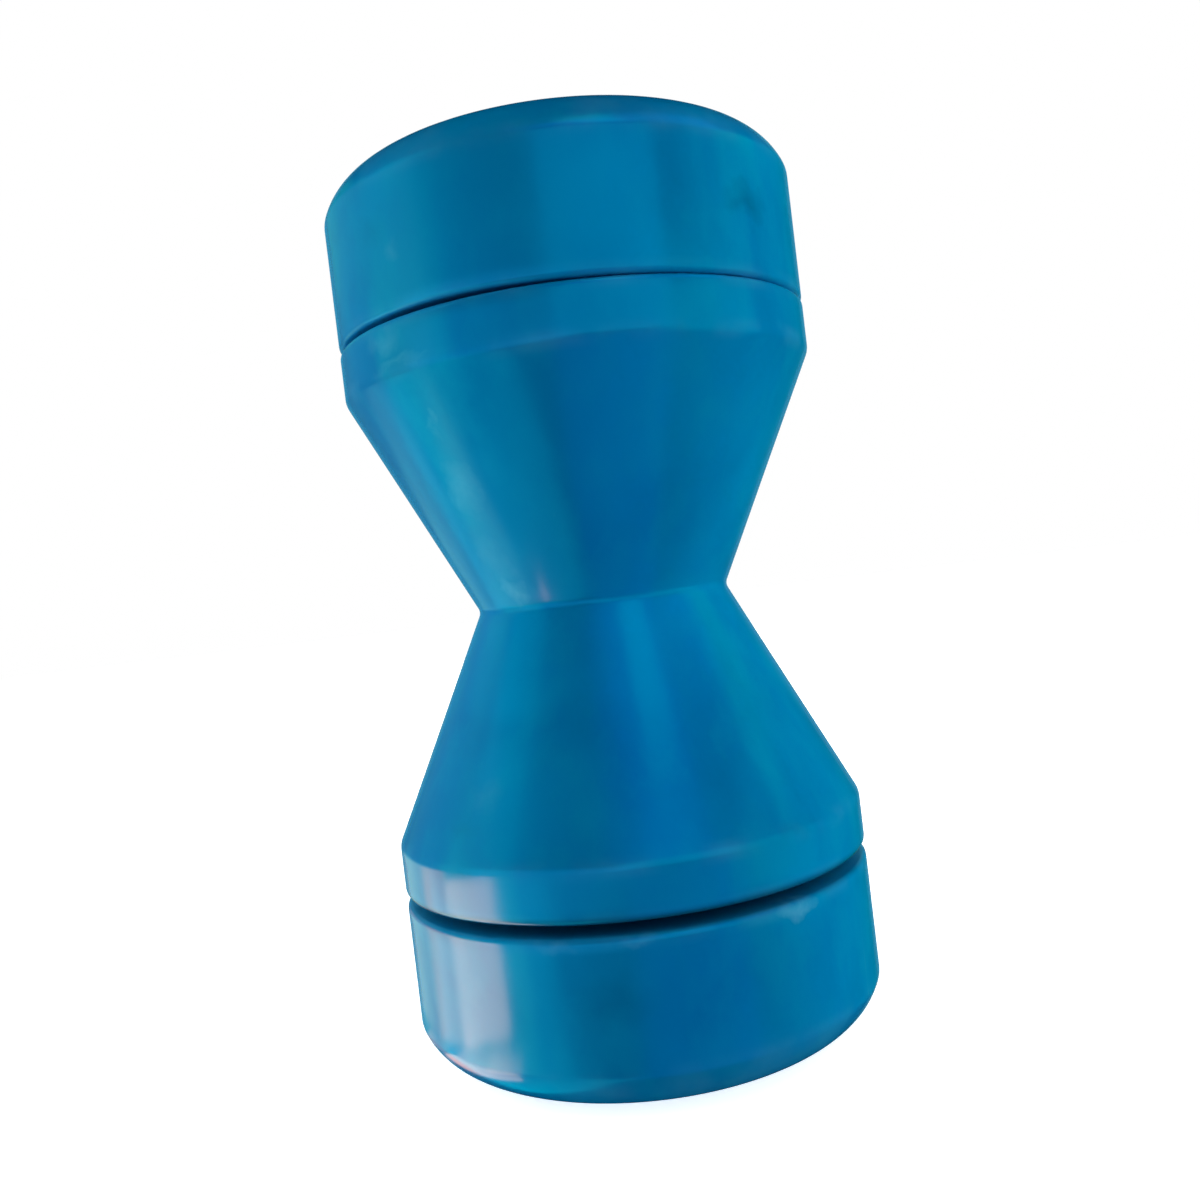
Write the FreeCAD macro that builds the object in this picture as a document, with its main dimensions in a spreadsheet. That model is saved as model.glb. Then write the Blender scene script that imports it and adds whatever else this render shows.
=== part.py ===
import FreeCAD, Part
import math
import os

import Sketcher

# Boat trailer roller: three moulded polyurethane rollers that turn side by side on one axle.
# The middle roller is waisted like a spool, so that a boat's keel runs in its V groove. A plain
# roller with a domed shoulder turns at each end of it. All three have the same bore, for the axle
# of the trailer's bracket. The set stands on end, its axis is Z, and the origin is at the waist.

# The driving dimensions in millimetres: name, value and meaning.
SIZES = (
    ("roller_diameter", 75.0, "outside of all three rollers"),
    ("spool_length", 85.8, "middle roller, from one rim's side to the other's"),
    ("rim_width", 7.6, "straight rim at each end of the middle roller"),
    ("waist_diameter", 40.5, "bottom of the V groove, before it is rounded"),
    ("groove_root_radius", 1.5, "rounding at the bottom of the V groove"),
    ("rim_corner_radius", 1.5, "rounding where a flank of the groove runs out into a rim"),
    ("end_roller_width", 25.6, "end roller, from side to side"),
    ("shoulder_radius", 9.8, "arc of the domed shoulder at the outer end of an end roller"),
    ("shoulder_width", 6.6, "how far along the roller the dome reaches, to its crease"),
    ("crease_radius", 2.5, "soft crease where the dome meets the straight side"),
    ("gap_edge_radius", 0.9, "broken edges on both sides of the gap between two rollers"),
    ("bore_diameter", 17.0, "running bore for a 16 mm axle"),
    ("bore_lead_in", 1.2, "chamfer at each mouth of a bore"),
    ("hub_diameter", 36.0, "raised hub face that runs against the next roller"),
    ("hub_height", 0.45, "how far a hub face stands out from the side of its roller"),
    ("upper_end_play", 0.25, "room between the middle and the upper roller's hub faces"),
    ("lower_end_play", 0.85, "room between the middle and the lower roller's hub faces"),
)

# Radii and heights that follow from them, as expressions in the cells' names.
OUTER_RADIUS = "Sizes.roller_diameter / 2"
WAIST_RADIUS = "Sizes.waist_diameter / 2"
BORE_RADIUS = "Sizes.bore_diameter / 2"
HUB_RADIUS = "Sizes.hub_diameter / 2"
RIM_SIDE = "Sizes.spool_length / 2"
RIM_CORNER = "(Sizes.spool_length / 2 - Sizes.rim_width)"
SPOOL_HUB = "(Sizes.spool_length / 2 + Sizes.hub_height)"
END_FACE = "(Sizes.hub_height + Sizes.end_roller_width)"
CREASE = f"({END_FACE} - Sizes.shoulder_width)"
FACE_RADIUS = (
    "(Sizes.roller_diameter / 2"
    " - sqrt(2 * Sizes.shoulder_radius * Sizes.shoulder_width - Sizes.shoulder_width ^ 2))"
)

# Two edges closer than this, in millimetres, are the same edge.
SAME_PLACE = 1e-4

doc = FreeCAD.newDocument("BoatTrailerRoller")

sheet = doc.addObject("Spreadsheet::Sheet", "Sizes")
for row, (name, value, meaning) in enumerate(SIZES, start=1):
    sheet.set(f"A{row}", meaning)
    sheet.set(f"B{row}", str(value))
    sheet.setAlias(f"B{row}", name)
doc.recompute()


def number(expression):
    """The value that an expression has now, in millimetres."""
    return float(sheet.evalExpression(expression))


def origin_feature(body, role):
    """One of a body's own origin planes or axes."""
    return next(feature for feature in body.Origin.OriginFeatures if feature.Role == role)


def arc_between(start, end, radius):
    """The short anticlockwise arc of that radius from one point to another."""
    chord = end - start
    middle = (start + end) / 2
    to_centre = math.sqrt(radius**2 - (chord.Length / 2) ** 2)
    left = FreeCAD.Vector(-chord.y, chord.x, 0).normalize()
    centre = middle + left * to_centre
    angles = [math.atan2(point.y - centre.y, point.x - centre.x) for point in (start, end)]
    return Part.ArcOfCircle(Part.Circle(centre, FreeCAD.Vector(0, 0, 1), radius), *angles)


def section_sketch(body, corners, arcs=()):
    """A closed half section in the plane of the axis.

    Each corner is its radius and its height, two expressions that go on holding it there. Straight
    lines join the corners, apart from the arcs: each is the number of the corner that it starts
    from, anticlockwise, and the name of its radius.
    """
    sketch = body.newObject("Sketcher::SketchObject", f"{body.Label}_section")
    sketch.AttachmentSupport = (origin_feature(body, "XZ_Plane"), [""])
    sketch.MapMode = "FlatFace"
    points = [FreeCAD.Vector(number(radius), number(height), 0) for radius, height in corners]
    following = list(range(1, len(points))) + [0]
    radii = dict(arcs)
    for line, end in enumerate(following):
        if line in radii:
            side = arc_between(points[line], points[end], number(f"Sizes.{radii[line]}"))
        else:
            side = Part.LineSegment(points[line], points[end])
        sketch.addGeometry(side, False)
    for line, end in enumerate(following):
        sketch.addConstraint(Sketcher.Constraint("Coincident", line, 2, end, 1))
    for line, radius in arcs:
        held = sketch.addConstraint(Sketcher.Constraint("Radius", line, number(f"Sizes.{radius}")))
        sketch.setExpression(f"Constraints[{held}]", f"Sizes.{radius}")
    for line, (radius, height) in enumerate(corners):
        for direction, place, expression in (
            ("DistanceX", points[line].x, radius),
            ("DistanceY", points[line].y, height),
        ):
            held = sketch.addConstraint(Sketcher.Constraint(direction, -1, 1, line, 1, place))
            sketch.setExpression(f"Constraints[{held}]", expression)
    doc.recompute()
    return sketch


def revolve(body, corners, arcs=()):
    """The solid that a half section makes when it is turned once round Z."""
    turned = body.newObject("PartDesign::Revolution", f"{body.Label}_turned")
    turned.Profile = section_sketch(body, corners, arcs)
    turned.ReferenceAxis = (origin_feature(body, "Z_Axis"), [""])
    turned.Angle = 360
    doc.recompute()
    return turned


def rings(feature, places):
    """The names of the circular edges round Z at the given radii and heights."""
    names = []
    for radius, height in places:
        for index, edge in enumerate(feature.Shape.Edges, start=1):
            curve = edge.Curve
            if not isinstance(curve, Part.Circle):
                continue
            same_radius = abs(curve.Radius - number(radius)) < SAME_PLACE
            if same_radius and abs(curve.Center.z - number(height)) < SAME_PLACE:
                names.append(f"Edge{index}")
    return names


def fillet(body, base, places, size, what):
    """Round the ring edges of a feature at the given places."""
    rounded = body.newObject("PartDesign::Fillet", f"{body.Label}_{what}")
    rounded.Base = (base, rings(base, places))
    rounded.setExpression("Radius", f"Sizes.{size}")
    doc.recompute()
    return rounded


def chamfer(body, base, places, size, what):
    """Bevel the ring edges of a feature at the given places, at 45 degrees."""
    bevelled = body.newObject("PartDesign::Chamfer", f"{body.Label}_{what}")
    bevelled.Base = (base, rings(base, places))
    bevelled.setExpression("Size", f"Sizes.{size}")
    doc.recompute()
    return bevelled


def both_ends(radius, height):
    """The place at that radius and height, and its mirror image below the waist."""
    return [(radius, height), (radius, f"-{height}")]


def make_spool(label):
    """The waisted middle roller: a V groove between two rims, and a raised hub on each side."""
    body = doc.addObject("PartDesign::Body", label)
    upper = [
        (OUTER_RADIUS, RIM_CORNER),
        (OUTER_RADIUS, RIM_SIDE),
        (HUB_RADIUS, RIM_SIDE),
        (HUB_RADIUS, SPOOL_HUB),
        (BORE_RADIUS, SPOOL_HUB),
    ]
    lower = [(radius, f"-{height}") for radius, height in reversed(upper)]
    turned = revolve(body, [(WAIST_RADIUS, "0"), *upper, *lower])
    root = fillet(body, turned, [(WAIST_RADIUS, "0")], "groove_root_radius", "root")
    corners = fillet(
        body, root, both_ends(OUTER_RADIUS, RIM_CORNER), "rim_corner_radius", "rim_corners"
    )
    edges = fillet(body, corners, both_ends(OUTER_RADIUS, RIM_SIDE), "gap_edge_radius", "edges")
    chamfer(body, edges, both_ends(BORE_RADIUS, SPOOL_HUB), "bore_lead_in", "lead_in")
    return body


def make_end_roller(label, end_play, tipped, way):
    """A plain roller with a domed outer shoulder, whose raised hub face looks at the spool.

    The dome's arc runs smoothly into the end face, and meets the straight side in a soft crease.
    The roller is drawn with its hub face at the origin, and is then tipped over by its number of
    degrees and moved out along the axis, up for a way of 1 and down for -1.
    """
    body = doc.addObject("PartDesign::Body", label)
    side = "Sizes.hub_height"
    corners = [
        (BORE_RADIUS, "0"),
        (HUB_RADIUS, "0"),
        (HUB_RADIUS, side),
        (OUTER_RADIUS, side),
        (OUTER_RADIUS, CREASE),
        (FACE_RADIUS, END_FACE),
        (BORE_RADIUS, END_FACE),
    ]
    dome = corners.index((OUTER_RADIUS, CREASE))
    turned = revolve(body, corners, [(dome, "shoulder_radius")])
    crease = fillet(body, turned, [(OUTER_RADIUS, CREASE)], "crease_radius", "crease")
    edge = fillet(body, crease, [(OUTER_RADIUS, side)], "gap_edge_radius", "edge")
    mouths = [(BORE_RADIUS, "0"), (BORE_RADIUS, END_FACE)]
    chamfer(body, edge, mouths, "bore_lead_in", "lead_in")
    across = FreeCAD.Vector(1, 0, 0)
    body.Placement = FreeCAD.Placement(FreeCAD.Vector(), FreeCAD.Rotation(across, tipped))
    body.setExpression("Placement.Base.z", f"{way} * ({SPOOL_HUB} + Sizes.{end_play})")
    doc.recompute()
    return body


rollers = [
    make_spool("centre_spool"),
    make_end_roller("lower_end_roller", "lower_end_play", 180, -1),
    make_end_roller("upper_end_roller", "upper_end_play", 0, 1),
]

doc.recompute()
for item in doc.Objects:
    if {"Invalid", "Error"} & set(item.State):
        raise RuntimeError(f"{item.Label} did not build: {item.State}")
for roller in rollers:
    shape = roller.Shape
    if shape.isNull() or not shape.isValid() or len(shape.Solids) != 1:
        raise RuntimeError(f"{roller.Label} is not one sound solid")

os.makedirs("parts", exist_ok=True)
for roller in rollers:
    roller.Shape.exportStep(f"parts/{roller.Label}.step")
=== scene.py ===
import math

import bpy
from mathutils import Matrix, Vector


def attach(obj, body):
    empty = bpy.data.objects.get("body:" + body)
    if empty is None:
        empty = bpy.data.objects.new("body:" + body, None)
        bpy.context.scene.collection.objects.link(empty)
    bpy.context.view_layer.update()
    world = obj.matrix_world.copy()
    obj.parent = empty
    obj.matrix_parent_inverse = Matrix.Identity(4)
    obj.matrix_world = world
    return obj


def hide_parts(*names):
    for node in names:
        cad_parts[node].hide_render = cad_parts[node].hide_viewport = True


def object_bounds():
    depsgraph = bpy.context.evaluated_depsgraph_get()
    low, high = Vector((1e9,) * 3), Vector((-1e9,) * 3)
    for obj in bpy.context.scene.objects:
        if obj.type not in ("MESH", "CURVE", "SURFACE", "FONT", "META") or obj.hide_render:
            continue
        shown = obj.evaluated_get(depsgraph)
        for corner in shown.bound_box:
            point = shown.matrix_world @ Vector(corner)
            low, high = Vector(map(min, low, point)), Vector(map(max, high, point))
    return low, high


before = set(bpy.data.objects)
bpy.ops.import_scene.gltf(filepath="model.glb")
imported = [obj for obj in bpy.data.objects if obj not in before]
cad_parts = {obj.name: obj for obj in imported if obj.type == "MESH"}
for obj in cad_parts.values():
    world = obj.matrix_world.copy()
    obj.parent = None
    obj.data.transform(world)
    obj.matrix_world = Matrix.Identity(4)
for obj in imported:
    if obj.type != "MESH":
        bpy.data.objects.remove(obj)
cad_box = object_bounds()

# The centre spool: the waisted middle roller, in whose V groove a boat's keel runs.
# One solid piece of blue polyurethane cast in a turned mould, so that its shape is a half section
# turned once round the axle. It goes on the axle between the two end rollers.


def add_node(tree, kind, links=None, **settings):
    """A new node of that kind, with its settings.

    Links give each named or numbered input a value, a socket, or a node, which stands for its
    first output.
    """
    node = tree.nodes.new(kind)
    for name, value in settings.items():
        setattr(node, name, value)
    for place, value in (links or {}).items():
        if isinstance(value, bpy.types.Node):
            value = value.outputs[0]
        if isinstance(value, bpy.types.NodeSocket):
            tree.links.new(value, node.inputs[place])
        else:
            node.inputs[place].default_value = value
    return node


def linear(hex_colour):
    """An sRGB hex colour as the linear red, green, blue and alpha of a colour socket."""
    channels = [int(hex_colour[place : place + 2], 16) / 255 for place in (0, 2, 4)]
    return [c / 12.92 if c <= 0.04045 else ((c + 0.055) / 1.055) ** 2.4 for c in channels] + [1]


MM = 0.001


def start_turning(name, sizes):
    """A tree for a turned roller that takes the named sizes, and its inputs by name."""
    tree = bpy.data.node_groups.new(name, "GeometryNodeTree")
    tree.is_modifier = True
    common = ("Ring spacing", "Sag", "Unevenness", "Unevenness seed")
    kinds = [(size, "Float") for size in (*sizes, *common)]
    for label, kind in (*kinds, ("Facets round", "Int"), ("Finish", "Material")):
        tree.interface.new_socket(label, in_out="INPUT", socket_type=f"NodeSocket{kind}")
    tree.interface.new_socket("Roller", in_out="OUTPUT", socket_type="NodeSocketGeometry")
    return tree, add_node(tree, "NodeGroupInput").outputs


def section_points(tree, corners, arc):
    """The open half section and each point's rounding, from its corners and the arc after them."""
    arc_points = 18 if arc else 0
    count = len(corners) + arc_points
    line = add_node(tree, "GeometryNodeCurvePrimitiveLine")
    points = add_node(tree, "GeometryNodeResampleCurve", {"Curve": line, "Count": count})
    index = add_node(tree, "GeometryNodeInputIndex")
    listed = [
        (add_node(tree, "ShaderNodeCombineXYZ", {"X": radius, "Y": height}), rounding)
        for radius, height, rounding in corners
    ]
    if arc:
        # The arc's own points come after the corners, and none of them is rounded further.
        across, up, radius, start = arc
        turn = add_node(tree, "ShaderNodeMath", {0: math.pi / 2, 1: start}, operation="SUBTRACT")
        part = add_node(
            tree,
            "ShaderNodeMapRange",
            {"Value": index, "From Min": len(corners) - 1, "From Max": count - 1},
        )
        angle = add_node(
            tree, "ShaderNodeMath", {0: part, 1: turn, 2: start}, operation="MULTIPLY_ADD"
        )
        ends = []
        for function, centre in (("COSINE", across), ("SINE", up)):
            share = add_node(tree, "ShaderNodeMath", {0: angle}, operation=function)
            links = {0: share, 1: radius, 2: centre}
            ends.append(add_node(tree, "ShaderNodeMath", links, operation="MULTIPLY_ADD"))
        listed.append((add_node(tree, "ShaderNodeCombineXYZ", {"X": ends[0], "Y": ends[1]}), 0.0))
    choice = add_node(tree, "ShaderNodeMath", {0: index, 1: len(listed) - 1}, operation="MINIMUM")
    places = add_node(tree, "GeometryNodeIndexSwitch", data_type="VECTOR")
    roundings = add_node(tree, "GeometryNodeIndexSwitch", data_type="FLOAT")
    for switch, values in ((places, [p for p, _ in listed]), (roundings, [r for _, r in listed])):
        while len(switch.index_switch_items) < len(listed):
            switch.index_switch_items.new()
        tree.links.new(choice.outputs[0], switch.inputs["Index"])
        for number, value in enumerate(values, start=1):
            if isinstance(value, float):
                switch.inputs[number].default_value = value
            else:
                source = value.outputs[0] if isinstance(value, bpy.types.Node) else value
                tree.links.new(source, switch.inputs[number])
    section = add_node(
        tree, "GeometryNodeSetPosition", {"Geometry": points, "Position": places}
    )
    return section, roundings, index


def finish_turning(tree, given, corners, arc=None):
    """The rest of a turned roller's tree, from the corners of its closed half section.

    Each corner is its radius, height and rounding, anticlockwise. The arc that may follow the last
    one is its centre's radius and height, its own radius and its start angle, and it ends at 90
    degrees. The outside is let in unevenly, as cast polyurethane shrinks.
    """
    section, roundings, index = section_points(tree, corners, arc)
    closed = add_node(tree, "GeometryNodeSetSplineCyclic", {"Geometry": section, "Cyclic": True})
    rounded = add_node(
        tree,
        "GeometryNodeFilletCurve",
        {"Curve": closed, "Count": 7, "Radius": roundings},
        mode="POLY",
    )
    # Rings no further apart than the spacing, which the unevenness needs.
    position = add_node(tree, "GeometryNodeInputPosition")
    following = add_node(
        tree, "GeometryNodeOffsetPointInCurve", {"Point Index": index, "Offset": 1}
    )
    next_place = add_node(
        tree,
        "GeometryNodeFieldAtIndex",
        {"Index": following.outputs["Point Index"]},
        data_type="FLOAT_VECTOR",
        domain="POINT",
    )
    tree.links.new(position.outputs[0], next_place.inputs["Value"])
    run = add_node(
        tree, "ShaderNodeVectorMath", {0: position, 1: next_place}, operation="DISTANCE"
    ).outputs["Value"]
    rings = add_node(
        tree, "ShaderNodeMath", {0: run, 1: given["Ring spacing"]}, operation="DIVIDE"
    )
    cuts = add_node(tree, "ShaderNodeMath", {0: rings}, operation="FLOOR")
    ringed = add_node(tree, "GeometryNodeSubdivideCurve", {"Curve": rounded, "Cuts": cuts})
    # How near each ring is to a corner far from the axle, where the finish is rubbed.
    corner_points = add_node(
        tree, "GeometryNodeCurveToPoints", {"Curve": section}, mode="EVALUATED"
    )
    away = add_node(
        tree, "GeometryNodeProximity", {"Geometry": corner_points}, target_element="POINTS"
    ).outputs["Distance"]
    near = add_node(
        tree,
        "ShaderNodeMapRange",
        {"Value": away, "From Min": 0.4 * MM, "From Max": 2 * MM, "To Min": 1.0, "To Max": 0.0},
        interpolation_type="SMOOTHSTEP",
    )
    radius = add_node(tree, "ShaderNodeSeparateXYZ", {"Vector": position})
    outermost = add_node(
        tree, "ShaderNodeMapRange", {"Value": radius, "From Min": 25 * MM, "From Max": 33 * MM}
    )
    edge = add_node(tree, "ShaderNodeMath", {0: near, 1: outermost}, operation="MULTIPLY")
    marked = add_node(
        tree,
        "GeometryNodeStoreNamedAttribute",
        {"Geometry": ringed, "Name": "edge", "Value": edge},
        data_type="FLOAT",
        domain="POINT",
    )
    # A circle carries the section round, and the section is drawn from the axle, so it first goes
    # back by the circle's radius.
    circle_radius = 10 * MM
    circle = add_node(
        tree,
        "GeometryNodeCurvePrimitiveCircle",
        {"Resolution": given["Facets round"], "Radius": circle_radius},
    )
    shifted = add_node(
        tree,
        "GeometryNodeTransform",
        {"Geometry": marked, "Translation": (-circle_radius, 0, 0)},
    )
    turned = add_node(
        tree, "GeometryNodeCurveToMesh", {"Curve": circle, "Profile Curve": shifted}
    )
    # The sweep hangs the section head down, so the turned form is set on its feet again.
    upright = add_node(
        tree, "GeometryNodeTransform", {"Geometry": turned, "Rotation": (math.pi, 0, 0)}
    )
    # The lower side comes down outside the hub, by the sag on the right and by half of it on the
    # left, as on a casting whose mould was set down a little out of level.
    spot = add_node(tree, "ShaderNodeSeparateXYZ", {"Vector": position}).outputs
    run_out = add_node(
        tree, "ShaderNodeVectorMath", {0: position, 1: (1, 1, 0)}, operation="MULTIPLY"
    )
    off_axis = add_node(
        tree, "ShaderNodeVectorMath", {0: run_out}, operation="LENGTH"
    ).outputs["Value"]
    # Each value, the two places in mm between which it counts, and its share at the first and last.
    sag_parts = (
        (spot["X"], -20, 12, 0.5, 1.0),
        (spot["Z"], 1, 9, 1.0, 0.0),
        (off_axis, 20, 26, 0.0, 1.0),
    )
    sag = given["Sag"]
    for value, start, end, first, last in sag_parts:
        limits = {
            "From Min": start * MM,
            "From Max": end * MM,
            "To Min": first,
            "To Max": last,
        }
        share = add_node(
            tree, "ShaderNodeMapRange", {"Value": value, **limits}, interpolation_type="SMOOTHSTEP"
        )
        sag = add_node(tree, "ShaderNodeMath", {0: sag, 1: share}, operation="MULTIPLY")
    drop = add_node(tree, "ShaderNodeMath", {0: sag, 1: -1.0}, operation="MULTIPLY")
    lowered = add_node(tree, "ShaderNodeCombineXYZ", {"Z": drop})
    sagged = add_node(tree, "GeometryNodeSetPosition", {"Geometry": upright, "Offset": lowered})
    # Low waves some 28 mm long over the outside, always inwards.
    waves = add_node(
        tree,
        "ShaderNodeTexNoise",
        {"W": given["Unevenness seed"], "Scale": 1 / (28 * MM), "Detail": 1.0},
        noise_dimensions="4D",
    )
    depth = add_node(
        tree, "ShaderNodeMath", {0: waves, 1: given["Unevenness"]}, operation="MULTIPLY"
    )
    normal = add_node(tree, "GeometryNodeInputNormal")
    outwards = add_node(
        tree, "ShaderNodeVectorMath", {0: normal, "Scale": depth}, operation="SCALE"
    )
    inwards = add_node(
        tree, "ShaderNodeVectorMath", {0: outwards, "Scale": -1.0}, operation="SCALE"
    )
    uneven = add_node(tree, "GeometryNodeSetPosition", {"Geometry": sagged, "Offset": inwards})
    smooth = add_node(tree, "GeometryNodeSetShadeSmooth", {"Geometry": uneven})
    real = add_node(tree, "GeometryNodeRealizeInstances", {"Geometry": smooth})
    finished = add_node(
        tree, "GeometryNodeSetMaterial", {"Geometry": real, "Material": given["Finish"]}
    )
    add_node(tree, "NodeGroupOutput", {"Roller": finished})


def turn_piece(name, tree, values):
    """The plain mesh that a turning tree makes of its values, as a piece of that name."""
    blank = bpy.data.objects.new(f"{name}_blank", bpy.data.meshes.new(f"{name}_blank"))
    bpy.context.scene.collection.objects.link(blank)
    modifier = blank.modifiers.new("Turning", "NODES")
    modifier.node_group = tree
    for item in tree.interface.items_tree:
        if item.item_type == "SOCKET" and item.in_out == "INPUT":
            modifier[item.identifier] = values[item.name]
    depsgraph = bpy.context.evaluated_depsgraph_get()
    mesh = bpy.data.meshes.new_from_object(blank.evaluated_get(depsgraph), depsgraph=depsgraph)
    bpy.data.objects.remove(blank)
    mesh.name = name
    piece = bpy.data.objects.new(name, mesh)
    bpy.context.scene.collection.objects.link(piece)
    return piece


def cast_polyurethane(name, marks, gap_shade):
    """Polyurethane poured into a polished mould, coloured through, and handled a little since.

    It gives the eye a deep blue, faintly clouded where the pour flowed and mottled with handling,
    under a satin skin with low ripples. Its edges are rubbed paler and duller, and hair scratches
    run along the axle. Each mark is its place and its reach in mm, and its tone, which is paler
    than the rest above 0 and darker below; some of the pale marks are painted highlights. The last
    argument is how dark the painted shade is beside the lower gap, where the narrow gap falls into
    shade.
    """
    material = bpy.data.materials.new(name)
    material.use_nodes = True
    tree = material.node_tree
    shader = tree.nodes["Principled BSDF"]
    place = add_node(tree, "ShaderNodeTexCoord").outputs["Object"]

    # Flow clouds some 30 mm across.
    flow = add_node(
        tree,
        "ShaderNodeTexNoise",
        {"Vector": place, "Scale": 1 / (30 * MM), "Detail": 2.0, "Distortion": 0.8},
    )
    flow_share = add_node(
        tree, "ShaderNodeMapRange", {"Value": flow, "From Min": 0.35, "From Max": 0.65}
    )
    clouded = add_node(
        tree,
        "ShaderNodeMix",
        {0: flow_share, 6: linear("006FA6"), 7: linear("007CB1")},
        data_type="RGBA",
    ).outputs[2]

    # A mottle of smears some 6 mm across, longer along the axle than round it.
    smeared = add_node(
        tree, "ShaderNodeMapping", {"Vector": place, "Scale": (1.0, 1.0, 0.55)}
    )
    mottle = add_node(
        tree,
        "ShaderNodeTexNoise",
        {"Vector": smeared, "Scale": 1 / (6 * MM), "Detail": 4.0, "Roughness": 0.6},
    )
    mottle_share = add_node(
        tree,
        "ShaderNodeMapRange",
        {"Value": mottle, "From Min": 0.45, "From Max": 0.75, "To Max": 0.40},
    )
    mottled = add_node(
        tree,
        "ShaderNodeMix",
        {0: mottle_share, 6: clouded, 7: linear("0388AF")},
        data_type="RGBA",
    ).outputs[2]

    # Hair scratches along the axle, only where there is mottle. They are really some 0.1 mm wide,
    # and are drawn 0.4 mm wide so that they show.
    combed = add_node(tree, "ShaderNodeMapping", {"Vector": place, "Scale": (1.0, 1.0, 0.02)})
    hairs = add_node(
        tree,
        "ShaderNodeTexNoise",
        {"Vector": combed, "Scale": 1 / (0.8 * MM), "Detail": 1.0},
    )
    scratch = add_node(
        tree,
        "ShaderNodeMapRange",
        {"Value": hairs, "From Min": 0.68, "From Max": 0.80},
        interpolation_type="SMOOTHSTEP",
    )
    scratch_share = add_node(
        tree, "ShaderNodeMath", {0: scratch, 1: mottle_share}, operation="MULTIPLY"
    )
    faint_scratch = add_node(
        tree, "ShaderNodeMath", {0: scratch_share, 1: 0.12}, operation="MULTIPLY"
    )

    # The marks, whose outlines waver by a millimetre or two.
    waver_reach = 6 * MM
    waver = add_node(
        tree, "ShaderNodeTexNoise", {"Vector": place, "Scale": 1 / (4 * MM), "Detail": 3.0}
    ).outputs["Color"]
    centred = add_node(
        tree, "ShaderNodeVectorMath", {0: waver, 1: (0.5, 0.5, 0.5)}, operation="SUBTRACT"
    )
    moved = add_node(
        tree,
        "ShaderNodeVectorMath",
        {0: centred, 1: (waver_reach, waver_reach, waver_reach), 2: place},
        operation="MULTIPLY_ADD",
    )
    sums = {"paler": 0.0, "darker": 0.0}
    for centre, reach, tone in marks:
        spot = add_node(
            tree,
            "ShaderNodeMapping",
            {
                "Vector": moved,
                "Location": [value * MM for value in centre],
                "Scale": [value * MM for value in reach],
            },
            vector_type="TEXTURE",
        )
        fade = add_node(
            tree, "ShaderNodeTexGradient", {"Vector": spot}, gradient_type="SPHERICAL"
        ).outputs["Fac"]
        way = "paler" if tone > 0 else "darker"
        sums[way] = add_node(
            tree, "ShaderNodeMath", {0: fade, 1: abs(tone), 2: sums[way]}, operation="MULTIPLY_ADD"
        )

    # The rubbed edges, paler in a few places some 9 mm long.
    edge = add_node(tree, "ShaderNodeAttribute", attribute_name="edge").outputs["Fac"]
    rubbing = add_node(
        tree, "ShaderNodeTexNoise", {"Vector": place, "Scale": 1 / (9 * MM), "Detail": 3.0}
    )
    rubbed = add_node(
        tree,
        "ShaderNodeMapRange",
        {"Value": rubbing, "From Min": 0.42, "From Max": 0.70, "To Min": 0.0, "To Max": 0.12},
    )
    edge_share = add_node(tree, "ShaderNodeMath", {0: edge, 1: rubbed}, operation="MULTIPLY")

    # Painted shade beside the lower gap, over the first millimetre and a half from a roller's side,
    # where the narrow gap falls into shade.
    gap_depth = 43.5 * MM
    level = add_node(tree, "ShaderNodeSeparateXYZ", {"Vector": place}).outputs["Z"]
    from_gap = add_node(tree, "ShaderNodeMath", {0: level, 1: gap_depth}, operation="ADD")
    beside = add_node(tree, "ShaderNodeMath", {0: from_gap}, operation="ABSOLUTE")
    gap_shade_share = add_node(
        tree,
        "ShaderNodeMapRange",
        {
            "Value": beside,
            "From Min": 0.8 * MM,
            "From Max": 2.1 * MM,
            "To Min": gap_shade,
            "To Max": 0.0,
        },
        interpolation_type="SMOOTHSTEP",
    )

    pale_share = edge_share
    for share in (faint_scratch, sums["paler"]):
        pale_share = add_node(
            tree, "ShaderNodeMath", {0: pale_share, 1: share}, operation="ADD", use_clamp=True
        )
    paled = add_node(
        tree,
        "ShaderNodeMix",
        {0: pale_share, 6: mottled, 7: linear("5AA8C8")},
        data_type="RGBA",
    ).outputs[2]
    darkened = add_node(
        tree,
        "ShaderNodeMix",
        {0: sums["darker"], 6: paled, 7: linear("00577F")},
        data_type="RGBA",
    ).outputs[2]
    # The painted shade beside the lower gap darkens the colour last.
    gap_shaded = add_node(
        tree, "ShaderNodeMix", {0: gap_shade_share, 6: darkened, 7: linear("00425F")}, data_type="RGBA"
    ).outputs[2]
    tree.links.new(gap_shaded, shader.inputs["Base Color"])

    # The satin skin, a little duller where it is mottled, marked or rubbed.
    dulled = add_node(
        tree, "ShaderNodeMath", {0: pale_share, 1: 0.5, 2: mottle_share}, operation="MULTIPLY_ADD"
    )
    roughness = add_node(
        tree,
        "ShaderNodeMapRange",
        {"Value": dulled, "From Max": 1.0, "To Min": 0.185, "To Max": 0.36},
    )
    tree.links.new(roughness.outputs[0], shader.inputs["Roughness"])
    shader.inputs["IOR"].default_value = 1.5

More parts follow.
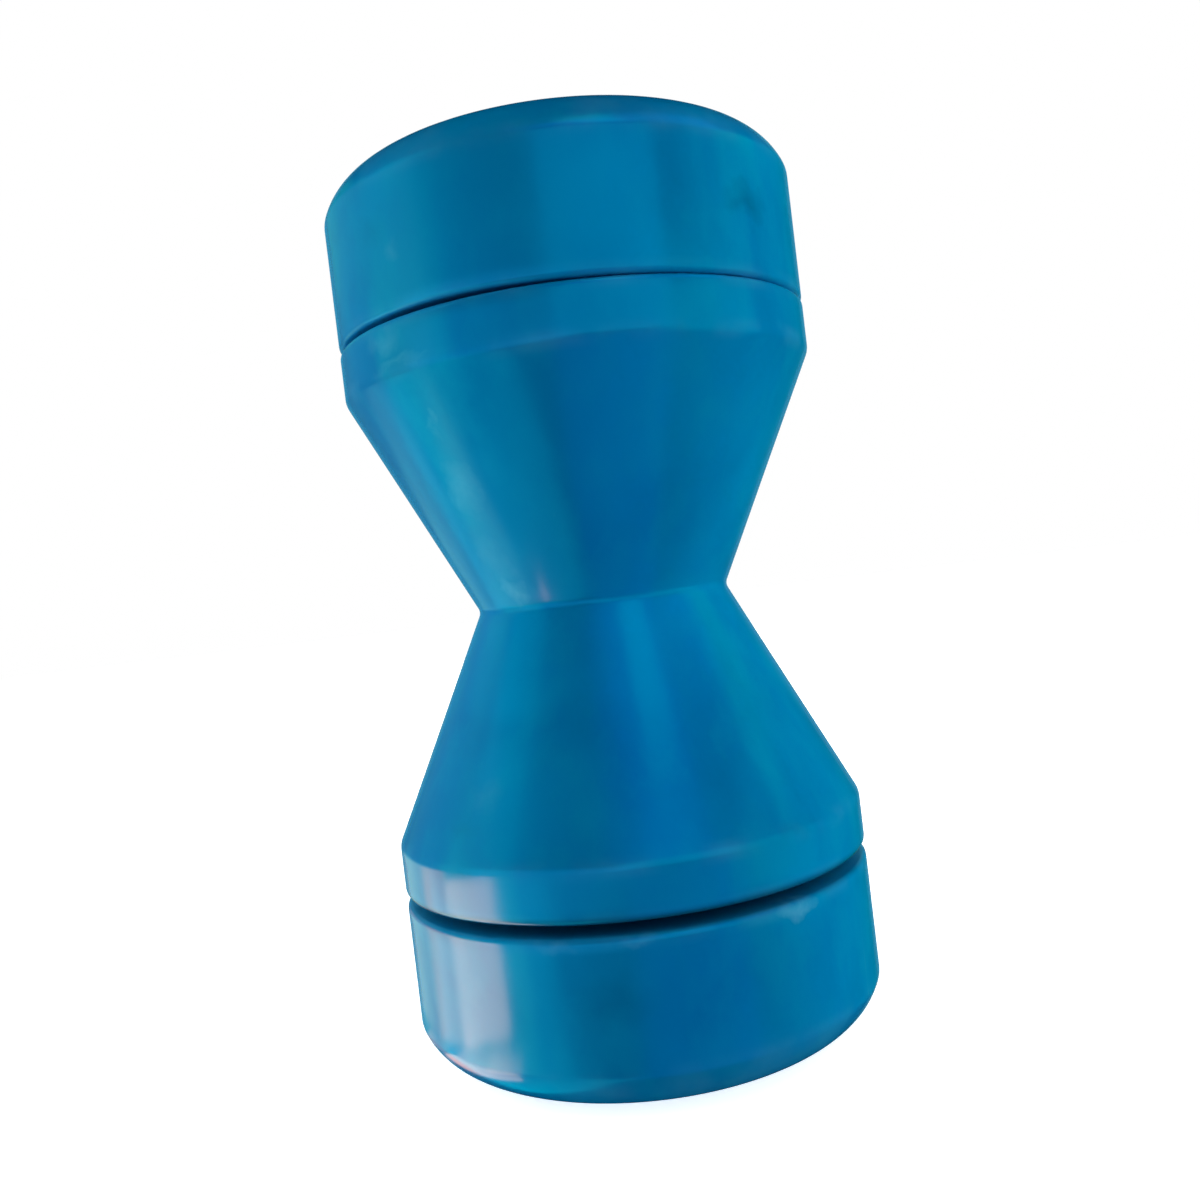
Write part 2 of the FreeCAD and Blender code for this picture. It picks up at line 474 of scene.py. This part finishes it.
    # Ripples 7 mm long, and a grain of the mould's polish: really a few hundredths of a millimetre
    # across, and drawn at 0.7 mm so that it shows.
    ripple_depth = 0.02 * MM
    grain_depth = 0.0015 * MM
    ripples = add_node(
        tree, "ShaderNodeTexNoise", {"Vector": place, "Scale": 1 / (7 * MM), "Detail": 1.0}
    )
    grain = add_node(
        tree, "ShaderNodeTexNoise", {"Vector": place, "Scale": 1 / (0.7 * MM), "Detail": 2.0}
    )
    fine_height = add_node(tree, "ShaderNodeMath", {0: grain, 1: grain_depth}, operation="MULTIPLY")
    height = add_node(
        tree,
        "ShaderNodeMath",
        {0: ripples, 1: ripple_depth, 2: fine_height},
        operation="MULTIPLY_ADD",
    )
    relief = add_node(tree, "ShaderNodeBump", {"Height": height, "Distance": 1.0})
    tree.links.new(relief.outputs[0], shader.inputs["Normal"])
    return material


outer_radius = 37.5 * MM
bore_radius = 8.5 * MM
hub_radius = 18 * MM
hub_height = 0.45 * MM
spool_half = 42.9 * MM
gap_edge_rounding = 0.9 * MM
bore_lead_in = 1.2 * MM
fine_edge = 0.2 * MM
casting = {
    "Ring spacing": 1.3 * MM,
    "Unevenness": 0.06 * MM,
    "Facets round": 240,
}

spool_sizes = {
    "Outer radius": outer_radius,
    "Waist radius": 20.25 * MM,
    "Bore radius": bore_radius,
    "Hub radius": hub_radius,
    "Half length": spool_half,
    "Rim width": 7.6 * MM,
    "Hub height": hub_height,
    "Groove rounding": 1.5 * MM,
    "Rim corner rounding": 3 * MM,
    "Edge rounding": gap_edge_rounding,
    "Lead-in": bore_lead_in,
}
spool_tree, given = start_turning("turned_spool", spool_sizes)
half_length = given["Half length"]
rim_corner = add_node(
    spool_tree, "ShaderNodeMath", {0: half_length, 1: given["Rim width"]}, operation="SUBTRACT"
)
hub_face = add_node(
    spool_tree, "ShaderNodeMath", {0: half_length, 1: given["Hub height"]}, operation="ADD"
)
mouth = add_node(
    spool_tree, "ShaderNodeMath", {0: given["Bore radius"], 1: given["Lead-in"]}, operation="ADD"
)
bore_end = add_node(
    spool_tree, "ShaderNodeMath", {0: hub_face, 1: given["Lead-in"]}, operation="SUBTRACT"
)
upper_half = [
    (given["Outer radius"], rim_corner, given["Rim corner rounding"]),
    (given["Outer radius"], half_length, given["Edge rounding"]),
    (given["Hub radius"], half_length, fine_edge),
    (given["Hub radius"], hub_face, fine_edge),
    (mouth, hub_face, fine_edge),
    (given["Bore radius"], bore_end, fine_edge),
]
lower_half = [
    (
        radius,
        add_node(spool_tree, "ShaderNodeMath", {0: height, 1: -1.0}, operation="MULTIPLY"),
        rounding,
    )
    for radius, height, rounding in reversed(upper_half)
]
waist = (given["Waist radius"], 0.0, given["Groove rounding"])
finish_turning(spool_tree, given, [waist, *upper_half, *lower_half])

# Pale and dark smears on the rims and beside them, and a pale scuff on the lower cone. The pale
# streak down the upper cone's left flank to the waist is a painted highlight: a window's sheen
# along the satin cone.
spool_marks = (
    ((-26.8, -26.2, 40.1), (5.0, 5.0, 2.5), 0.20),
    ((-25.0, -28.0, 36.6), (7.0, 7.0, 0.9), 0.15),
    # The next four marks paint that highlight, from near the rim down to the waist.
    ((-21.7, -26.7, 29.0), (1.2, 1.2, 9.0), 0.20),
    ((-18.1, -22.8, 18.2), (4.0, 4.0, 5.0), 0.35),
    ((-15.6, -19.0, 6.0), (3.0, 3.0, 7.0), 0.25),
    ((-13.4, -17.2, 2.6), (2.2, 2.2, 3.0), 0.55),
    ((-20.4, -25.8, -25.9), (4.5, 4.5, 2.6), 0.09),
    ((-23.6, -26.0, -30.5), (4.0, 4.0, 2.0), -0.20),
    ((23.4, -29.2, -35.2), (6.0, 6.0, 1.6), -0.20),
)
spool = turn_piece(
    "centre_spool_casting",
    spool_tree,
    {
        **spool_sizes,
        **casting,
        "Sag": 0.0,
        "Unevenness seed": 3.0,
        "Finish": cast_polyurethane("cast_polyurethane_spool", spool_marks, gap_shade=0.8),
    },
)
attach(spool, "spool")
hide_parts("centre_spool")

# The end rollers: a plain roller with a domed outer shoulder at each end of the spool.
# Two castings of the same blue polyurethane from one mould. They go on the axle last, hub faces
# to the spool, and turn on their own.

end_sizes = {
    "Outer radius": outer_radius,
    "Bore radius": bore_radius,
    "Hub radius": hub_radius,
    "Hub height": hub_height,
    "Width": 25.6 * MM,
    "Shoulder radius": 9.8 * MM,
    "Shoulder width": 6.6 * MM,
    "Crease rounding": 2.5 * MM,
    "Edge rounding": gap_edge_rounding,
    "Lead-in": bore_lead_in,
}
end_tree, given = start_turning("turned_end_roller", end_sizes)
side, lead_in, dome = given["Hub height"], given["Lead-in"], given["Shoulder radius"]
end_face = add_node(end_tree, "ShaderNodeMath", {0: side, 1: given["Width"]}, operation="ADD")
crease = add_node(
    end_tree, "ShaderNodeMath", {0: end_face, 1: given["Shoulder width"]}, operation="SUBTRACT"
)
# The dome's arc ends at the end face, level, and starts at the crease.
arc_height = add_node(end_tree, "ShaderNodeMath", {0: end_face, 1: dome}, operation="SUBTRACT")
rise = add_node(end_tree, "ShaderNodeMath", {0: crease, 1: arc_height}, operation="SUBTRACT")
rise_share = add_node(end_tree, "ShaderNodeMath", {0: rise, 1: dome}, operation="DIVIDE")
arc_start = add_node(end_tree, "ShaderNodeMath", {0: rise_share}, operation="ARCSINE")
reach_share = add_node(end_tree, "ShaderNodeMath", {0: arc_start}, operation="COSINE")
reach = add_node(end_tree, "ShaderNodeMath", {0: reach_share, 1: dome}, operation="MULTIPLY")
arc_centre = add_node(
    end_tree, "ShaderNodeMath", {0: given["Outer radius"], 1: reach}, operation="SUBTRACT"
)
mouth = add_node(
    end_tree, "ShaderNodeMath", {0: given["Bore radius"], 1: lead_in}, operation="ADD"
)
bore_end = add_node(end_tree, "ShaderNodeMath", {0: end_face, 1: lead_in}, operation="SUBTRACT")
corners = [
    (mouth, end_face, fine_edge),
    (given["Bore radius"], bore_end, fine_edge),
    (given["Bore radius"], lead_in, fine_edge),
    (mouth, 0.0, fine_edge),
    (given["Hub radius"], 0.0, fine_edge),
    (given["Hub radius"], side, fine_edge),
    (given["Outer radius"], side, given["Edge rounding"]),
    (given["Outer radius"], crease, given["Crease rounding"]),
]
finish_turning(end_tree, given, corners, (arc_centre, arc_height, dome, arc_start))

# A dark smudge, a dark smear and a pale speck on the upper roller. On the lower one, pale spots
# along its top edge, which are painted highlights where the rounded edge catches light, and a dark
# blob and a pale speck below them.
end_marks = (
    ((27.0, -26.0, 53.9), (5.0, 5.0, 3.2), -0.70),
    ((-26.4, -26.6, 55.6), (4.0, 4.0, 3.0), -0.20),
    ((-23.4, -29.2, 51.6), (2.2, 2.2, 2.0), 0.14),
    # The next three marks are painted highlights on the lower roller's rounded top edge.
    ((21.5, -30.7, -45.3), (4.0, 4.0, 1.6), 0.40),
    ((-0.5, -37.5, -45.4), (3.5, 3.5, 1.2), 0.18),
    ((-12.6, -35.3, -45.4), (3.5, 3.5, 1.2), 0.16),
    ((-5.0, -37.1, -53.6), (6.5, 6.5, 4.5), -0.30),
    ((-24.7, -28.2, -52.7), (3.0, 3.0, 2.2), 0.12),
)
end_finish = cast_polyurethane("cast_polyurethane_ends", end_marks, gap_shade=0.1)
# Each roller's name, its way along the axle, its room to the spool's hub face, and its sag and seed.
end_rollers = (
    ("lower", -1, 0.85 * MM, 0.0, 11.0),
    ("upper", 1, 0.25 * MM, 1.1 * MM, 7.0),
)
for level, way, end_play, sag, seed in end_rollers:
    roller = turn_piece(
        f"{level}_end_roller_casting",
        end_tree,
        {
            **end_sizes,
            **casting,
            "Sag": sag,
            "Unevenness seed": seed,
            "Finish": end_finish,
        },
    )
    if way < 0:
        roller.data.transform(Matrix.Rotation(math.pi, 4, "X"))
    hub_to_hub = spool_half + hub_height + end_play
    roller.data.transform(Matrix.Translation((0, 0, way * hub_to_hub)))
    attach(roller, f"{level}_end")
    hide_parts(f"{level}_end_roller")

# The floor: a plain white board on which the rollers stand, no part of them.
# One flat board with matt white paint, six metres square and level with the lowest face.

floor_height = cad_box[0].z
floor_mesh = bpy.data.meshes.new("floor")
half_board = 3.0
board_corners = ((-1, -1), (1, -1), (1, 1), (-1, 1))
floor_mesh.from_pydata(
    [(x * half_board, y * half_board, floor_height) for x, y in board_corners],
    [],
    [(0, 1, 2, 3)],
)
floor = bpy.data.objects.new("floor", floor_mesh)
bpy.context.scene.collection.objects.link(floor)
board = bpy.data.materials.new("matt_white_board")
board.use_nodes = True
board_tree = board.node_tree
board_tree.nodes.clear()
# Matt white paint, which gives the eye plain white with the roller's soft shadow on it. For the
# camera it glows too, and more so away from the roller, so that it ends in the backdrop's white.
paint = add_node(board_tree, "ShaderNodeBsdfDiffuse", {"Color": linear("E6E6E6")})
board_place = add_node(board_tree, "ShaderNodeTexCoord").outputs["Object"]
from_roller = add_node(
    board_tree, "ShaderNodeVectorMath", {0: board_place}, operation="LENGTH"
).outputs["Value"]
glow_strength = add_node(
    board_tree,
    "ShaderNodeMapRange",
    {
        "Value": from_roller,
        "From Min": 200 * MM,
        "From Max": 800 * MM,
        "To Min": 0.8,
        "To Max": 1.0,
    },
)
glow = add_node(
    board_tree, "ShaderNodeEmission", {"Color": linear("FFFFFF"), "Strength": glow_strength}
)
seen = add_node(board_tree, "ShaderNodeLightPath").outputs["Is Camera Ray"]
both = add_node(board_tree, "ShaderNodeAddShader", {0: paint, 1: glow})
board_mix = add_node(board_tree, "ShaderNodeMixShader", {0: seen, 1: paint, 2: both})
add_node(board_tree, "ShaderNodeOutputMaterial", {"Surface": board_mix})
floor_mesh.materials.append(board)
# The board throws no light back: the low boxes below stand for that, and shine through it.
floor.visible_diffuse = False
floor.visible_glossy = False
floor.visible_shadow = False

# The light: soft boxes round the rollers, and patches and cards on the bench beside them.
# The matt boxes light the colour. The gloss boxes, patches and cards are the windows, walls and
# bench of the room, and only the satin skin mirrors them. The camera sees none of them.


def lamp(name, width, height, radiance, matt):
    """A flat lamp of that size in metres, seen by matt surfaces alone or in the gloss alone."""
    light = bpy.data.lights.new(name, "AREA")
    light.shape = "RECTANGLE"
    light.size = width
    light.size_y = height
    light.color = [value / max(radiance) for value in radiance]
    light.energy = max(radiance) * math.pi * width * height
    lamp_object = bpy.data.objects.new(name, light)
    bpy.context.scene.collection.objects.link(lamp_object)
    # A ray scattered by the colour carries some of the gloss too, so a matt lamp is met by none.
    light.cycles.use_multiple_importance_sampling = not matt
    lamp_object.visible_camera = False
    lamp_object.visible_glossy = not matt
    lamp_object.visible_diffuse = matt
    return lamp_object


def soft_box(name, azimuth, elevation, wide, high, radiance, matt):
    """A lamp a metre off that looks at the roller.

    Its place is in degrees round the roller, from the camera's side to the right, and degrees up.
    Its width and height are in degrees too, as the roller sees them.
    """
    across = [2 * math.tan(math.radians(angle / 2)) for angle in (wide, high)]
    box = lamp(name, *across, radiance, matt)
    a, e = math.radians(azimuth), math.radians(elevation)
    away = Vector((math.sin(a) * math.cos(e), -math.cos(a) * math.cos(e), math.sin(e)))
    box.location = away
    box.rotation_mode = "QUATERNION"
    box.rotation_quaternion = away.to_track_quat("Z", "Y")


def lit_patch(name, layer, x, y, width, depth, turn, radiance):
    """A bright patch on the bench beside the roller, in mm, turned by that many degrees.

    Each lies 0.4 mm below the last, because lamps in one plane hide each other. All lie below the
    floor's top, through which the gloss sees them.
    """
    first_layer = 1 * MM
    layer_step = 0.4 * MM
    patch = lamp(name, width * MM, depth * MM, radiance, matt=False)
    patch.location = (x * MM, y * MM, floor_height - first_layer - layer_step * layer)
    patch.rotation_mode = "XYZ"
    patch.rotation_euler = (math.pi, 0, math.radians(turn))


def lit_card(name, x, y, width, height, radiance):
    """A bright card that stands on the bench left of the roller and faces it, in mm."""
    card = lamp(name, height * MM, width * MM, radiance, matt=False)
    card.location = (x * MM, y * MM, floor_height + height / 2 * MM)
    card.rotation_mode = "XYZ"
    card.rotation_euler = (0, -math.pi / 2, 0)


# Each box's name, its degrees round and up, its width and height in degrees, and its radiance.
matt_boxes = (
    ("matt_left", -95, 15, 70, 90, (2.6, 2.6, 2.6)),
    ("matt_right", 80, 5, 90, 90, (2.25, 2.25, 2.25)),
    ("matt_low_left", -85, -50, 50, 90, (1.0, 1.1, 1.2)),
    ("matt_back", 180, 25, 70, 50, (1.2, 1.2, 1.2)),
)
for name, azimuth, elevation, wide, high, radiance in matt_boxes:
    soft_box(name, azimuth, elevation, wide, high, radiance, matt=True)

# Blue and green light from the room's windows and walls, which deepens and tints the blue.
gloss_boxes = (
    ("gloss_left_high", -80, 35, 30, 25, (0.0, 1.0, 1.2)),
    ("gloss_left_low", -80, -45, 75, 55, (0.0, 1.3, 1.7)),
    ("gloss_left_back", -108, 5, 80, 50, (0.08, 0.12, 0.05)),
    ("gloss_right_mid", 70, 0, 50, 40, (0.0, 0.9, 0.8)),
    ("gloss_front_high", 15, 45, 45, 35, (0.0, 0.0, 0.8)),
    ("gloss_left_mid", -80, -5, 45, 50, (0.03, 1.3, 0.75)),
    ("gloss_right_high", 96, 28, 26, 12, (0.0, 1.0, 0.4)),
    ("gloss_streak", 28, 55, 18, 32, (0.0, 1.8, 1.6)),
    ("gloss_top", 50, 52, 70, 32, (0.0, 0.4, 1.4)),
    ("gloss_left", -42, -1, 80, 36, (0.02, 1.1, 2.3)),
    ("gloss_bench_left", -102, -36, 40, 20, (0.4, 0.9, 0.5)),
    ("gloss_far_left_low", -128, -17, 38, 16, (0.2, 0.7, 0.6)),
    ("gloss_high_back_left", -125, 28, 40, 20, (0.02, 0.35, 0.2)),
    ("gloss_front_mid", 20, 12, 52, 36, (0.0, 1.4, 2.4)),
    ("gloss_front_low", 22, -35, 50, 46, (0.0, 0.2, 1.2)),
    ("gloss_back", 180, 0, 60, 70, (0.08, 0.3, 0.35)),
    ("gloss_right_back", 125, 0, 50, 60, (0.0, 0.15, 0.05)),
)
for name, azimuth, elevation, wide, high, radiance in gloss_boxes:
    soft_box(name, azimuth, elevation, wide, high, radiance, matt=False)

# The bright bench on the left: each patch's place, size and turn, and its radiance.
patches = (
    ("patch_paper", -41, -33, 26, 8, 20, (1.5, 0.9, 0.6)),
    ("patch_paper_foot", -40, -26, 22, 25, 33, (2.7, 1.4, 1.0)),
    ("patch_paper_dim", -46, -2, 12, 16, 0, (0.6, 0.4, 0.3)),
)
for layer, (name, x, y, width, depth, turn, radiance) in enumerate(patches):
    lit_patch(name, layer, x, y, width, depth, turn, radiance)

# The pale window on the lower roller's left: each card's place and size, and its radiance.
cards = (
    ("card_bright", -50, -31, 22, 27.5, (5.4, 2.6, 1.8)),
    ("card_mid", -50, -14, 13, 30, (2.2, 0.9, 0.2)),
    ("card_dim", -50, 3, 24, 30, (0.5, 0.33, 0.2)),
)
for name, x, y, width, height, radiance in cards:
    lit_card(name, x, y, width, height, radiance)

world = bpy.data.worlds.new("studio")
bpy.context.scene.world = world
world.cycles.sampling_method = "NONE"
world.use_nodes = True
world_tree = world.node_tree
world_tree.nodes.clear()
# White for the camera and for transmission rays, and dark otherwise: the lamps are all the light.
# It is dark in the gloss too, where white would lay a grey veil over the deep blue.
path = add_node(world_tree, "ShaderNodeLightPath").outputs
shown = add_node(
    world_tree,
    "ShaderNodeMath",
    {0: path["Is Camera Ray"], 1: path["Is Transmission Ray"]},
    operation="MAXIMUM",
)
backdrop = add_node(
    world_tree, "ShaderNodeBackground", {"Color": linear("FFFFFF"), "Strength": shown}
)
add_node(world_tree, "ShaderNodeOutputWorld", {"Surface": backdrop})

# The camera: close, nearly level, and tilted so that the rollers lean to the left in the picture.
# Its distance, its angles in radians and its lens agree with the outline in the photo.

distance = 188.5 * MM
pitch = 0.0175
lean = 0.1198
look_at = Vector((-0.56 * MM, 0, -0.34 * MM))
forward = Vector((0, math.cos(pitch), -math.sin(pitch)))
above = Vector((0, math.sin(pitch), math.cos(pitch)))
right = Vector((1, 0, 0))
camera_right = right * math.cos(lean) - above * math.sin(lean)
camera_up = right * math.sin(lean) + above * math.cos(lean)
frame_pixels = 1200
focal_pixels = 1141.35
sensor_millimetres = 36
lens = bpy.data.cameras.new("camera")
lens.sensor_width = sensor_millimetres
lens.lens = focal_pixels / frame_pixels * sensor_millimetres
lens.clip_start = 10 * MM
camera = bpy.data.objects.new("camera", lens)
bpy.context.scene.collection.objects.link(camera)
camera_turn = Matrix((camera_right, camera_up, -forward)).transposed()
camera.matrix_world = Matrix.Translation(look_at - forward * distance) @ camera_turn.to_4x4()
bpy.context.scene.camera = camera

bpy.context.scene.view_settings.view_transform = "Standard"
